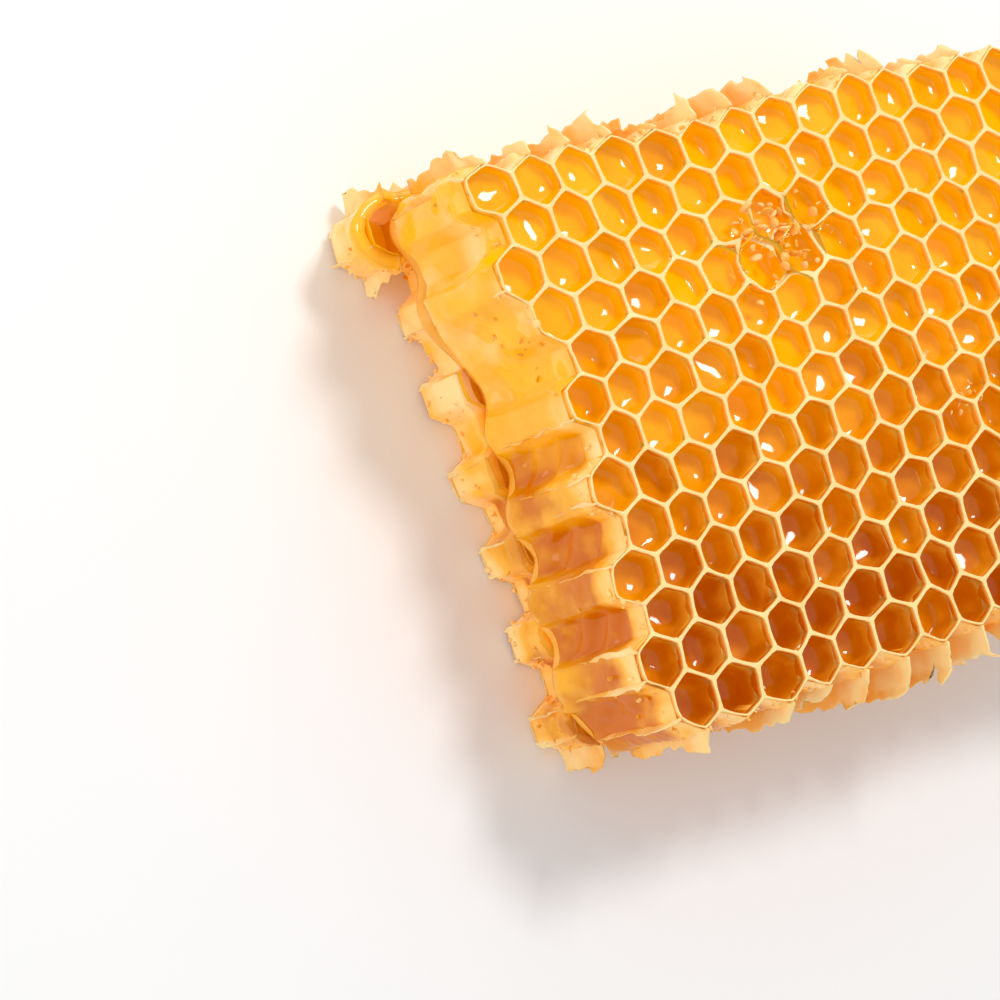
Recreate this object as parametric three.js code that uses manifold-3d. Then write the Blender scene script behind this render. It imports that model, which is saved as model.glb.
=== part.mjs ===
// A piece of cut honeycomb, lying on its back with its open cells up.
//
// A wax midrib carries a layer of hexagonal cells on each side: deep cells above and shorter ones below.
// Each layer is one solid of wax and the honey in it, hollow only where its cells are empty, between the
// honey's level and their mouths. Torn fins stand out where the knife went through a row of cells.
// Units are millimetres. +X runs along the rows of cells, +Y from the first row to the last, +Z up.
import * as THREE from "three";
import { mergeVertices } from "three/addons/utils/BufferGeometryUtils.js";
import Module from "manifold-3d";

// Driving dimensions.
const CELL_PITCH = 5.4; // between the middles of two parallel walls of a cell
const ROWS = 13;
const CELLS_IN_ROW = 13;
const FRONT_DEPTH = 16.5; // of the upper cells, from the midrib to their mouths
const BACK_DEPTH = 9.5; // of the lower cells
const MIDRIB_THICKNESS = 1;
const WALL = 0.8; // of the wax at a cell's mouth
const MOUTH_DEPTH = 2.5; // from the mouths to the honey's level
const GAP = 0.3; // between the midrib and a layer of cells
const FRONT_LEFT_CUT = { at: -6.6, slant: -0.07 }; // the knife's line, in cell pitches
const BACK_LEFT_CUT = { at: -6.4, slant: 0 };
const RIGHT_CUT = { at: 6.5, slant: 0 };
const BACK_SHIFT = { x: -0.5, y: 1 / (2 * Math.sqrt(3)) }; // of the lower cells, in cell pitches
const TOP_FIN = 2.3; // how far the walls of the row that was cut through still stand out
const BOTTOM_FIN = 1.3;
const FIN_SPREAD = 0.7; // how much the fins differ in length

// Worked out from those.
const ROW_PITCH = (CELL_PITCH * Math.sqrt(3)) / 2;
const CORNER_RADIUS = CELL_PITCH / Math.sqrt(3);
const MIDRIB_FLOOR = BACK_DEPTH;
const MIDRIB_TOP = BACK_DEPTH + MIDRIB_THICKNESS;
const THICKNESS = MIDRIB_TOP + FRONT_DEPTH;

// The two layers of cells. A layer's phase makes its rows wander in a way of their own.
const FRONT = { shift: { x: 0, y: 0 }, phase: 0, leftCut: FRONT_LEFT_CUT, finned: true, spurs: [] };
const BACK = {
  shift: { x: BACK_SHIFT.x * CELL_PITCH, y: BACK_SHIFT.y * CELL_PITCH },
  phase: 2.1,
  leftCut: BACK_LEFT_CUT,
  finned: false,
  spurs: [{ row: ROWS - 1, column: -1 }], // a torn cell that stands out at the corner
};

const wasm = await Module();
wasm.setup();

/** Where bees have drawn a point of the even lattice: rows wander and cells differ a little. */
function wander(x, y, phase) {
  const dx =
    0.5 * Math.sin(0.09 * y + 0.8 + phase) +
    0.25 * Math.sin(0.31 * x + 0.17 * y + phase) +
    0.13 * Math.sin(1.13 * x - 0.71 * y + 2 + phase);
  const dy =
    0.45 * Math.sin(0.1 * x + 0.3 + phase) +
    0.22 * Math.sin(0.27 * y - 0.21 * x + 1.1 + phase) +
    0.13 * Math.sin(0.93 * y + 0.83 * x + 0.5 + phase);
  return new THREE.Vector2(x + dx, y + dy);
}

/** The middle of a cell on the even lattice. Every other row is moved by half a cell. */
function cellCentre(row, column, layer) {
  const stagger = row % 2 === 0 ? 0.25 : -0.25;
  return new THREE.Vector2(
    (column - (CELLS_IN_ROW - 1) / 2 + stagger) * CELL_PITCH + layer.shift.x,
    (row - (ROWS - 1) / 2) * ROW_PITCH + layer.shift.y,
  );
}

/** The six corners of a cell on the even lattice, anticlockwise, with a vertex pointing along +Y. */
function cellCorners(centre) {
  return Array.from({ length: 6 }, (_, k) => {
    const angle = ((30 + 60 * k) * Math.PI) / 180;
    return new THREE.Vector2(
      centre.x + CORNER_RADIUS * Math.cos(angle),
      centre.y + CORNER_RADIUS * Math.sin(angle),
    );
  });
}

/** The knife's line at a height up the face, in millimetres. */
const knifeAt = (cut, y) => cut.at * CELL_PITCH + cut.slant * y;

/** The whole cells of a layer: those between the two cuts, and its spurs. */
function cellsOf(layer) {
  const cells = layer.spurs.map(({ row, column }) => cellCorners(cellCentre(row, column, layer)));
  for (let row = 0; row < ROWS; row++)
    for (let column = -1; column <= CELLS_IN_ROW; column++) {
      const centre = cellCentre(row, column, layer);
      const left = knifeAt(layer.leftCut, centre.y);
      if (centre.x > left && centre.x < knifeAt(RIGHT_CUT, centre.y)) cells.push(cellCorners(centre));
    }
  return cells;
}

/** A name for a point of the even lattice, alike for every cell that shares it. */
const pointName = (p) => `${Math.round((4 * p.x) / CELL_PITCH)},${Math.round((4 * p.y) / CORNER_RADIUS)}`;

/** The line round a set of cells: the edges that belong to one cell only, end to end. */
function outlineOf(cells) {
  const next = new Map();
  for (const corners of cells)
    corners.forEach((from, k) => {
      const to = corners[(k + 1) % 6];
      next.set(`${pointName(from)}>${pointName(to)}`, [from, to]);
    });
  const onEdge = new Map();
  for (const [from, to] of next.values())
    if (!next.has(`${pointName(to)}>${pointName(from)}`)) onEdge.set(pointName(from), [from, to]);
  const outline = [];
  let [start, to] = onEdge.values().next().value;
  const first = pointName(start);
  do {
    outline.push(start);
    [start, to] = onEdge.get(pointName(to));
  } while (pointName(start) !== first);
  return outline;
}

/** An anticlockwise outline moved outwards by a distance, or inwards by a negative one. */
function offset(outline, distance) {
  return outline.map((point, k) => {
    const before = outline[(k + outline.length - 1) % outline.length];
    const after = outline[(k + 1) % outline.length];
    const normals = [
      [before, point],
      [point, after],
    ].map(([a, b]) => new THREE.Vector2(b.y - a.y, a.x - b.x).normalize());
    const middle = normals[0].clone().add(normals[1]).normalize();
    return point.clone().addScaledVector(middle, distance / middle.dot(normals[0]));
  });
}

/** A prism over an outline, from one height to another, as a solid. */
function prism(outline, floor, top) {
  const shape = new THREE.Shape(outline);
  const geometry = new THREE.ExtrudeGeometry(shape, { depth: top - floor, bevelEnabled: false });
  return solidOf(geometry.translate(0, 0, floor));
}

function solidOf(geometry) {
  geometry.deleteAttribute("normal");
  geometry.deleteAttribute("uv");
  const merged = mergeVertices(geometry, 1e-4);
  return new wasm.Manifold(
    new wasm.Mesh({
      numProp: 3,
      vertProperties: merged.attributes.position.array,
      triVerts: new Uint32Array(merged.index.array),
    }),
  );
}

function geometryOf(solid) {
  const mesh = solid.getMesh();
  return new THREE.BufferGeometry()
    .setAttribute("position", new THREE.BufferAttribute(mesh.vertProperties, 3))
    .setIndex(new THREE.BufferAttribute(mesh.triVerts, 1));
}

/** An outline with fins on its tips, where the walls of the cut row still stand on whole cells. */
function finned(outline, phase) {
  return outline.flatMap((tip, k) => {
    const before = outline[(k + outline.length - 1) % outline.length];
    const after = outline[(k + 1) % outline.length];
    const up = before.y < tip.y && after.y < tip.y;
    const down = before.y > tip.y && after.y > tip.y;
    const convex = after.clone().sub(tip).cross(before.clone().sub(tip)) > 0;
    if (!convex || !(up || down)) return [tip];
    const side = up ? 1 : -1;
    const reach = (up ? TOP_FIN : BOTTOM_FIN) + FIN_SPREAD * Math.sin(2.3 * tip.x + phase);
    return [
      [side * WALL, 0],
      [side * WALL, side * reach],
      [-side * WALL, side * reach],
      [-side * WALL, 0],
    ].map(([dx, dy]) => new THREE.Vector2(tip.x + dx / 2, tip.y + dy));
  });
}

/** A layer's rim and its solid, from its root on the midrib to its cells' mouths. */
function layerSolid(layer, root, mouth) {
  const opens = Math.sign(mouth - root); // 1 if the cells open upwards
  const cells = cellsOf(layer);
  const bent = (points) => points.map((p) => wander(p.x, p.y, layer.phase));
  const rim = offset(bent(outlineOf(cells)), WALL / 2);
  const span = (a, b) => [Math.min(a, b), Math.max(a, b)];
  const outline = layer.finned ? finned(rim, layer.phase) : rim;
  const body = prism(outline, ...span(root, mouth));
  const empty = span(mouth - opens * MOUTH_DEPTH, mouth + opens);
  const hollows = cells.map((corners) => prism(offset(bent(corners), -WALL / 2), ...empty));
  return { rim, solid: body.subtract(wasm.Manifold.union(hollows)) };
}

function meshOf(name, solid, material) {
  const mesh = new THREE.Mesh(geometryOf(solid), material);
  mesh.name = name;
  return mesh;
}

const WAX = new THREE.MeshStandardMaterial({ color: 0xf3c778, roughness: 0.55, metalness: 0 });
const HONEYED_WAX = new THREE.MeshStandardMaterial({ color: 0xe08c12, roughness: 0.2, metalness: 0 });

const front = layerSolid(FRONT, MIDRIB_TOP + GAP, THICKNESS);
const back = layerSolid(BACK, MIDRIB_FLOOR - GAP, 0);
const sheets = [front.rim, back.rim].map((rim) => prism(rim, MIDRIB_FLOOR, MIDRIB_TOP));

const honeycomb = new THREE.Group();
honeycomb.add(
  meshOf("front_cells", front.solid, HONEYED_WAX),
  meshOf("midrib", sheets[0].add(sheets[1]), WAX),
  meshOf("back_cells", back.solid, HONEYED_WAX),
);

// The origin is under the middle of the piece, on the surface that it lies on.
const box = new THREE.Box3().setFromObject(honeycomb);
honeycomb.position.set(-(box.min.x + box.max.x) / 2, -(box.min.y + box.max.y) / 2, -box.min.z);

export default honeycomb;
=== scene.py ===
"""A knife-cut piece of honeycomb with its honey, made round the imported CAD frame.

Lengths inside the classes are in millimetres in the frame's own axes: +X runs along the rows of cells,
+Y across the rows and +Z out of the upper cells' mouths. Meshes are written in metres.
"""

from __future__ import annotations

import logging
import math
from dataclasses import dataclass
from enum import Enum

import bpy
import numpy as np
from mathutils import Matrix, Vector

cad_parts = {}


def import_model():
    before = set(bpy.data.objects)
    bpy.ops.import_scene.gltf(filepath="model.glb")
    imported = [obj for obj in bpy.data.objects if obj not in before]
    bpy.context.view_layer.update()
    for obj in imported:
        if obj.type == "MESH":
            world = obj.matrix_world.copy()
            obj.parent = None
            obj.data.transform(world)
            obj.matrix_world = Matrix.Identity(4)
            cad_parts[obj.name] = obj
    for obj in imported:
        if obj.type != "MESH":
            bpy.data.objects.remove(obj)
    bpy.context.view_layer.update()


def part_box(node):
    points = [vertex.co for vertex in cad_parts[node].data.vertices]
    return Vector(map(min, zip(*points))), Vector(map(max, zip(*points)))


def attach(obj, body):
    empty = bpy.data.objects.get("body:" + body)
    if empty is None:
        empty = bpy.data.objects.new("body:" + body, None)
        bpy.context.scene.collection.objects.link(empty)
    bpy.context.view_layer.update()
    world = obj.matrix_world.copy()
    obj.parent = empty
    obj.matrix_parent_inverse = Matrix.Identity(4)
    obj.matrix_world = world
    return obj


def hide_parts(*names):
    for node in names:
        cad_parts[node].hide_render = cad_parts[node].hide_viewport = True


MM = 0.001
LOG = logging.getLogger("honeycomb")


# ---------------------------------------------------------------- helpers for meshes and node trees


def fresh_object(name: str, mesh: bpy.types.Mesh) -> bpy.types.Object:
    """Puts a mesh into the scene as an object at the origin.

    Args:
        name: The object's name.
        mesh: Its mesh, in metres.

    Returns:
        The new object.
    """
    made = bpy.data.objects.new(name, mesh)
    bpy.context.scene.collection.objects.link(made)
    return made


def mesh_from(name: str, points: np.ndarray, faces: list) -> bpy.types.Mesh:
    """Makes a mesh from points in millimetres.

    Args:
        name: The mesh's name.
        points: One row of three numbers for each point.
        faces: Tuples of point numbers, or an array of them.

    Returns:
        The mesh, smooth-shaded, in metres.
    """
    mesh = bpy.data.meshes.new(name)
    mesh.from_pydata((np.asarray(points) * MM).tolist(), [], [tuple(map(int, f)) for f in faces])
    mesh.shade_smooth()
    return mesh


def give_attribute(mesh: bpy.types.Mesh, name: str, values: np.ndarray, domain: str = "POINT") -> None:
    """Writes a number for each point or face of a mesh under a name.

    Args:
        mesh: The mesh.
        name: The attribute's name.
        values: One number for each point or face.
        domain: POINT or FACE.
    """
    layer = mesh.attributes.new(name, "FLOAT", domain)
    layer.data.foreach_set("value", np.asarray(values, dtype=np.float32).ravel())


class TreeMaker:
    """Adds nodes to a node tree and joins their sockets by name."""

    def __init__(self, tree: bpy.types.NodeTree) -> None:
        """Starts on an empty tree."""
        self.tree = tree

    def node(self, kind: str, inputs: dict | None = None, **settings: object) -> bpy.types.Node:
        """Adds a node.

        Args:
            kind: The node's type name.
            inputs: Values or output sockets for its inputs, by name or number.
            settings: The node's own properties.

        Returns:
            The node.
        """
        made = self.tree.nodes.new(kind)
        for name, value in settings.items():
            setattr(made, name, value)
        for name, value in (inputs or {}).items():
            self.feed(self.socket(made.inputs, name), value)
        return made

    @staticmethod
    def socket(sockets: bpy.types.bpy_prop_collection, name: str | int) -> bpy.types.NodeSocket:
        """Finds a socket by its number, or by its name among those in use.

        Args:
            sockets: A node's inputs or outputs.
            name: The number or the name.

        Returns:
            The socket.
        """
        if isinstance(name, int):
            return sockets[name]
        return next(s for s in sockets if s.name == name and s.enabled)

    def feed(self, target: bpy.types.NodeSocket, value: object) -> None:
        """Sets an input to a value, or joins it to an output.

        Args:
            target: The input.
            value: A plain value, an output, or a node whose first output in use is meant.
        """
        if isinstance(value, bpy.types.Node):
            value = next(s for s in value.outputs if s.enabled)
        if isinstance(value, bpy.types.NodeSocket):
            self.tree.links.new(value, target)
        else:
            target.default_value = value

    def maths(self, operation: str, *values: object) -> bpy.types.Node:
        """Adds a Math node on one to three values."""
        return self.node("ShaderNodeMath", dict(enumerate(values)), operation=operation)

    def vector(self, operation: str, *values: object) -> bpy.types.Node:
        """Adds a Vector Math node on one or two vectors."""
        return self.node("ShaderNodeVectorMath", dict(enumerate(values)), operation=operation)

    def scaled(self, vector: object, factor: object) -> bpy.types.Node:
        """Adds a Vector Math node that scales a vector by a number."""
        return self.node("ShaderNodeVectorMath", {0: vector, "Scale": factor}, operation="SCALE")

    def spread(self, value: object, low: float, high: float, to: tuple[float, float]) -> bpy.types.Node:
        """Adds a Map Range node, clamped, from low..high to the range "to"."""
        return self.node("ShaderNodeMapRange", {0: value, 1: low, 2: high, 3: to[0], 4: to[1]})


def geometry_tree(name: str, sizes: dict[str, tuple[str, float]]) -> tuple[TreeMaker, bpy.types.Node]:
    """Starts a Geometry Nodes tree with a mesh in, a mesh out and named sizes.

    Args:
        name: The tree's name.
        sizes: For each input its socket type and default value.

    Returns:
        The tree's maker and its Group Input node.
    """
    tree = bpy.data.node_groups.new(name, "GeometryNodeTree")
    tree.interface.new_socket("Geometry", in_out="INPUT", socket_type="NodeSocketGeometry")
    for label, (kind, default) in sizes.items():
        made = tree.interface.new_socket(label, in_out="INPUT", socket_type=kind)
        made.default_value = default
    tree.interface.new_socket("Geometry", in_out="OUTPUT", socket_type="NodeSocketGeometry")
    return TreeMaker(tree), tree.nodes.new("NodeGroupInput")


def close_tree(maker: TreeMaker, geometry: object, material: bpy.types.Material) -> bpy.types.NodeTree:
    """Ends a Geometry Nodes tree: instances made real, shaded smooth, with a material.

    Args:
        maker: The tree's maker.
        geometry: The socket or node that gives the finished geometry.
        material: The material of all its faces.

    Returns:
        The finished tree.
    """
    real = maker.node("GeometryNodeRealizeInstances", {"Geometry": geometry})
    smooth = maker.node("GeometryNodeSetShadeSmooth", {0: real})
    dressed = maker.node("GeometryNodeSetMaterial", {"Geometry": smooth, "Material": material})
    maker.node("NodeGroupOutput", {0: dressed})
    return maker.tree


def grown(name: str, seed_mesh: bpy.types.Mesh, tree: bpy.types.NodeTree, sizes: dict) -> bpy.types.Object:
    """Runs a Geometry Nodes tree on a mesh and keeps the result as a plain mesh.

    Args:
        name: The new object's name.
        seed_mesh: The mesh that the tree starts from.
        tree: The tree.
        sizes: Values for the tree's inputs by name.

    Returns:
        An object with no modifier, at the origin.
    """
    seed = fresh_object(name + "-seed", seed_mesh)
    modifier = seed.modifiers.new("grow", "NODES")
    modifier.node_group = tree
    inputs = [item for item in tree.interface.items_tree if item.in_out == "INPUT"]
    identifiers = {item.name: item.identifier for item in inputs}
    for label, value in sizes.items():
        modifier[identifiers[label]] = value
    depsgraph = bpy.context.evaluated_depsgraph_get()
    mesh = bpy.data.meshes.new_from_object(seed.evaluated_get(depsgraph))
    bpy.data.objects.remove(seed)
    mesh.name = name
    return fresh_object(name, mesh)


# ---------------------------------------------------------------- unevenness


@dataclass(frozen=True)
class Clouds:
    """Smooth noise from -1 to 1 that gives the same values each time."""

    seed: int
    grid: int = 24

    def at(self, points: np.ndarray, scale: float | tuple[float, float, float]) -> np.ndarray:
        """The noise at some points.

        Args:
            points: Rows of x, y and z.
            scale: The size of one cloud, or its size along each axis.

        Returns:
            One number for each point.
        """
        values = np.random.default_rng(self.seed).uniform(-1, 1, (self.grid,) * 3)
        place = points / np.asarray(scale, dtype=float)
        low = np.floor(place).astype(int)
        part = place - low
        part = part * part * (3 - 2 * part)
        total = np.zeros(len(points))
        for corner in np.ndindex(2, 2, 2):
            share = np.prod(np.where(corner, part, 1 - part), axis=1)
            where = (low + corner) % self.grid
            total += share * values[where[:, 0], where[:, 1], where[:, 2]]
        return total


def ease(value: np.ndarray | float, low: float, high: float) -> np.ndarray:
    """A smooth step from 0 at low to 1 at high."""
    part = np.clip((np.asarray(value) - low) / (high - low), 0, 1)
    return part * part * (3 - 2 * part)


@dataclass(frozen=True)
class Ring:
    """A closed line round a layer, at even steps, with its smoothed course and outward normals."""

    crisp: np.ndarray
    smooth: np.ndarray
    normal: np.ndarray

    @classmethod
    def of(cls, corners: np.ndarray, step: float, softness: float) -> Ring:
        """Walks round a polygon.

        Args:
            corners: The polygon's corners, anticlockwise.
            step: The distance between points.
            softness: How far the smoothing reaches, as a standard deviation.

        Returns:
            The ring.
        """
        ends = np.roll(corners, -1, axis=0)
        lengths = np.linalg.norm(ends - corners, axis=1)
        along = np.concatenate([[0], np.cumsum(lengths)])
        count = int(round(along[-1] / step))
        want = np.arange(count) * along[-1] / count
        closed = np.vstack([corners, corners[:1]])
        crisp = np.stack([np.interp(want, along, closed[:, axis]) for axis in (0, 1)], axis=1)
        smooth = cls.soften(crisp, softness / step)
        tangent = cls.soften(np.roll(smooth, -1, axis=0) - np.roll(smooth, 1, axis=0), 4 / step)
        normal = np.stack([tangent[:, 1], -tangent[:, 0]], axis=1)
        normal /= np.linalg.norm(normal, axis=1)[:, None]
        return cls(crisp, smooth, normal)

    @staticmethod
    def soften(values: np.ndarray, reach: float) -> np.ndarray:
        """Smooths rows that follow each other in a circle, by a bell.

        Args:
            values: The rows.
            reach: The bell's standard deviation, in rows.

        Returns:
            The smoothed rows.
        """
        count = len(values)
        away = np.minimum(np.arange(count), count - np.arange(count))
        bell = np.exp(-0.5 * (away / reach) ** 2)
        bell /= bell.sum()
        spectrum = np.fft.fft(values, axis=0) * np.fft.fft(bell)[:, None]
        return np.fft.ifft(spectrum, axis=0).real


def tube_faces(around: int, levels: int) -> np.ndarray:
    """Quads between closed rows of points.

    Args:
        around: The number of points in each row.
        levels: The number of rows.

    Returns:
        One row of four point numbers for each quad.
    """
    row, point = np.meshgrid(np.arange(levels - 1), np.arange(around), indexing="ij")
    following = (point + 1) % around
    low, high = row * around, (row + 1) * around
    return np.stack([low + point, low + following, high + following, high + point], axis=-1).reshape(-1, 4)


# ---------------------------------------------------------------- the lattice that the bees drew


@dataclass(frozen=True)
class Layer:
    """One side's cells: where its lattice lies and where the knife went."""

    name: str
    shift_x: float  # of its lattice, in cell pitches
    shift_y: float
    phase: float  # of the rows' wandering
    left_cut: float  # the knife's line past the cells' middles, in cell pitches
    left_slant: float
    root: float  # height of its cells' bottoms
    mouth: float  # height of their mouths
    spurs: tuple[tuple[int, int], ...] = ()

    @property
    def opens(self) -> float:
        """1 if the cells open upwards, and -1 if downwards."""
        return math.copysign(1.0, self.mouth - self.root)


@dataclass(frozen=True)
class Lattice:
    """Hexagonal cells in staggered rows, with the bees' unevenness."""

    pitch: float = 5.4
    rows: int = 13
    columns: int = 13
    right_cut: float = 6.5

    @property
    def radius(self) -> float:
        """From a cell's middle to its corners."""
        return self.pitch / math.sqrt(3)

    def wander(self, points: np.ndarray, phase: float) -> np.ndarray:
        """Moves even lattice points to where the bees drew them.

        Args:
            points: Rows of x and y.
            phase: The layer's phase.

        Returns:
            The moved points.
        """
        x, y = points[:, 0], points[:, 1]
        dx = 0.5 * np.sin(0.09 * y + 0.8 + phase)
        dx += 0.25 * np.sin(0.31 * x + 0.17 * y + phase)
        dx += 0.13 * np.sin(1.13 * x - 0.71 * y + 2 + phase)
        dy = 0.45 * np.sin(0.1 * x + 0.3 + phase)
        dy += 0.22 * np.sin(0.27 * y - 0.21 * x + 1.1 + phase)
        dy += 0.13 * np.sin(0.93 * y + 0.83 * x + 0.5 + phase)
        return np.stack([x + dx, y + dy], axis=1)

    def centre(self, row: int, column: int, layer: Layer) -> np.ndarray:
        """The middle of a cell on the even lattice.

        Args:
            row: The cell's row.
            column: Its place in the row.
            layer: Its layer.

        Returns:
            Its x and y.
        """
        stagger = 0.25 if row % 2 == 0 else -0.25
        x = (column - (self.columns - 1) / 2 + stagger + layer.shift_x) * self.pitch
        y = (row - (self.rows - 1) / 2) * self.radius * 1.5 + layer.shift_y * self.pitch
        return np.array([x, y])

    def corners(self, centre: np.ndarray) -> np.ndarray:
        """The six corners of a cell, anticlockwise."""
        angles = np.radians(30 + 60 * np.arange(6))
        return centre + self.radius * np.stack([np.cos(angles), np.sin(angles)], axis=1)

    def centres(self, layer: Layer) -> np.ndarray:
        """The middles of a layer's whole cells.

        Args:
            layer: The layer.

        Returns:
            Rows of x and y.
        """
        found = [self.centre(row, column, layer) for row, column in layer.spurs]
        for row in range(self.rows):
            for column in range(-1, self.columns + 1):
                centre = self.centre(row, column, layer)
                left = layer.left_cut * self.pitch + layer.left_slant * centre[1]
                if left < centre[0] < self.right_cut * self.pitch:
                    found.append(centre)
        return np.array(found)

    def around(self, centres: np.ndarray) -> np.ndarray:
        """The middles of the cells that the knife spoiled: the neighbours of whole ones.

        Args:
            centres: The whole cells' middles.

        Returns:
            Rows of x and y.
        """
        angles = np.radians(60 * np.arange(6))
        steps = self.pitch * np.array([[math.cos(a), math.sin(a)] for a in angles])
        found: list[np.ndarray] = []
        for centre in (centres[:, None] + steps[None]).reshape(-1, 2):
            known = np.vstack([centres, *found]) if found else centres
            if np.linalg.norm(known - centre, axis=1).min() > 0.5 * self.pitch:
                found.append(centre)
        return np.array(found)

    def cells(self, layer: Layer, spoiled: bool = False) -> tuple[np.ndarray, list[list[int]]]:
        """A layer's cells as points that neighbours share.

        Args:
            layer: The layer.
            spoiled: Whether the cells that the knife went through come after the whole ones.

        Returns:
            The wandered points, and for each cell the numbers of its six points, anticlockwise.
        """
        numbers: dict[tuple[int, int], int] = {}
        points: list[np.ndarray] = []
        faces = []
        centres = self.centres(layer)
        if spoiled:
            centres = np.vstack([centres, self.around(centres)])
        for centre in centres:
            face = []
            for corner in self.corners(centre):
                key = (round(4 * corner[0] / self.pitch), round(4 * corner[1] / self.radius))
                if key not in numbers:
                    numbers[key] = len(points)
                    points.append(corner)
                face.append(numbers[key])
            faces.append(face)
        return self.wander(np.array(points), layer.phase), faces

    @staticmethod
    def outline(faces: list[list[int]]) -> list[int]:
        """The numbers of the points round a set of cells.

        Args:
            faces: For each cell the numbers of its points.

        Returns:
            The outline's point numbers, anticlockwise.
        """
        following = {}
        for face in faces:
            for k, start in enumerate(face):
                following[(start, face[(k + 1) % 6])] = True
        step = {a: b for a, b in following if (b, a) not in following}
        loop = [next(iter(step))]
        while step[loop[-1]] != loop[0]:
            loop.append(step[loop[-1]])
        return loop


LATTICE = Lattice()


# ---------------------------------------------------------------- finishes


class Coat(Enum):
    """How wet a surface is."""

    DRY = 0.42
    DAMP = 0.22
    WET = 0.06


def mottling_group() -> bpy.types.NodeTree:
    """The uneven clouding that wax and honey share, as a shader node group.

    Returns:
        A group that takes a scale and puts out a cloudy mask, a fine mask and a height.
    """
    name = "comb mottling"
    if name in bpy.data.node_groups:
        return bpy.data.node_groups[name]
    tree = bpy.data.node_groups.new(name, "ShaderNodeTree")
    tree.interface.new_socket("Cloud Scale", in_out="INPUT", socket_type="NodeSocketFloat")
    tree.interface.new_socket("Fine Scale", in_out="INPUT", socket_type="NodeSocketFloat")
    for label in ("Cloud", "Fine", "Height"):
        tree.interface.new_socket(label, in_out="OUTPUT", socket_type="NodeSocketFloat")
    maker = TreeMaker(tree)
    given = tree.nodes.new("NodeGroupInput")
    place = maker.node("ShaderNodeTexCoord").outputs["Object"]
    cloud = maker.node(
        "ShaderNodeTexNoise", {"Vector": place, "Scale": given.outputs["Cloud Scale"], "Detail": 3.0}
    )
    fine = maker.node(
        "ShaderNodeTexNoise", {"Vector": place, "Scale": given.outputs["Fine Scale"], "Detail": 2.0}
    )
    height = maker.maths("MULTIPLY_ADD", cloud.outputs[0], 0.6, fine.outputs[0])
    maker.node("NodeGroupOutput", {"Cloud": cloud.outputs[0], "Fine": fine.outputs[0], "Height": height})
    return tree


@dataclass(frozen=True)
class CombFinish:
    """Wax and honey in one material: an amount of honey and a depth, read from the mesh, set the colour.

    The attribute "soak" runs from 0, dry wax, to 1, clear honey, and the darkness attribute from light to
    dark honey; that darkness is partly the honey's own tone and partly painted shade.
    """

    name: str
    wax: tuple[float, float, float]
    soaked: tuple[float, float, float]
    light_honey: tuple[float, float, float]
    dark_honey: tuple[float, float, float]
    dry_roughness: float
    wet_roughness: float
    glow: float  # share of light that goes through the stuff
    glow_reach: float  # how far red light goes through it, in metres
    painted_glow: float  # painted glow: emission in the surface's own colour, standing in for light come through the comb from behind
    relief: float  # of the fine bumps, in metres
    cloud_scale: float = 260.0
    fine_scale: float = 1500.0

    def material(self) -> bpy.types.Material:
        """Builds the material, once.

        Returns:
            The material.
        """
        if self.name in bpy.data.materials:
            return bpy.data.materials[self.name]
        made = bpy.data.materials.new(self.name)
        made.use_nodes = True
        made.node_tree.nodes.clear()
        maker = TreeMaker(made.node_tree)
        mottling = maker.node("ShaderNodeGroup", node_tree=mottling_group())
        mottling.inputs["Cloud Scale"].default_value = self.cloud_scale
        mottling.inputs["Fine Scale"].default_value = self.fine_scale
        soak = maker.node("ShaderNodeAttribute", attribute_name="soak").outputs["Fac"]
        amber_and_shade = maker.node("ShaderNodeAttribute", attribute_name="amber_and_shade").outputs["Fac"]
        cloud = maker.spread(mottling.outputs["Cloud"], 0.3, 0.7, (-0.16, 0.16))
        wetness = maker.maths("ADD", soak, cloud)
        wetness.use_clamp = True
        # the honey's darkness: its own tone together with the painted shade that the meshes carry
        depth = maker.maths("ADD", amber_and_shade, cloud)
        depth.use_clamp = True
        honey = self.blended(maker, depth, self.light_honey, self.dark_honey)
        ramp = maker.node("ShaderNodeValToRGB", {0: wetness})
        ramp.color_ramp.elements[0].color = (*self.wax, 1)
        ramp.color_ramp.elements[1].color = (*self.soaked, 1)
        ramp.color_ramp.elements[1].position = 0.55
        full = maker.spread(wetness, 0.45, 0.95, (0.0, 1.0))
        colour = self.mixed(maker, full, ramp.outputs["Color"], honey)
        roughness = maker.spread(wetness, 0.1, 0.6, (self.dry_roughness, self.wet_roughness))
        height = mottling.outputs["Height"]
        bump = maker.node("ShaderNodeBump", {"Strength": 1.0, "Distance": self.relief, "Height": height})
        shader = maker.node(
            "ShaderNodeBsdfPrincipled",
            {"Base Color": colour, "Roughness": roughness, "Normal": bump, "IOR": 1.48},
        )
        shader.inputs["Subsurface Weight"].default_value = self.glow
        shader.inputs["Subsurface Radius"].default_value = (1.0, 0.45, 0.12)
        shader.inputs["Subsurface Scale"].default_value = self.glow_reach
        shader.inputs["Specular IOR Level"].default_value = 0.4
        # painted glow: the surface emits its own colour, standing in for light shining through the comb
        maker.feed(shader.inputs["Emission Color"], colour)
        shader.inputs["Emission Strength"].default_value = self.painted_glow
        maker.node("ShaderNodeOutputMaterial", {"Surface": shader})
        return made

    @staticmethod
    def mixed(maker: TreeMaker, factor: object, a: object, b: object) -> bpy.types.NodeSocket:
        """Mixes two colours.

        Args:
            maker: The material's node maker.
            factor: The second colour's share.
            a: The first colour, plain or an output.
            b: The second colour.

        Returns:
            The output that gives the mix.
        """
        mix = maker.node("ShaderNodeMix", data_type="RGBA")
        maker.feed(mix.inputs[0], factor)
        maker.feed(mix.inputs[6], a)
        maker.feed(mix.inputs[7], b)
        return mix.outputs[2]

    def blended(self, maker: TreeMaker, factor: object, a: tuple, b: tuple) -> bpy.types.NodeSocket:
        """Mixes two plain colours and gives the result's socket."""
        return self.mixed(maker, factor, (*a, 1), (*b, 1))


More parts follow.
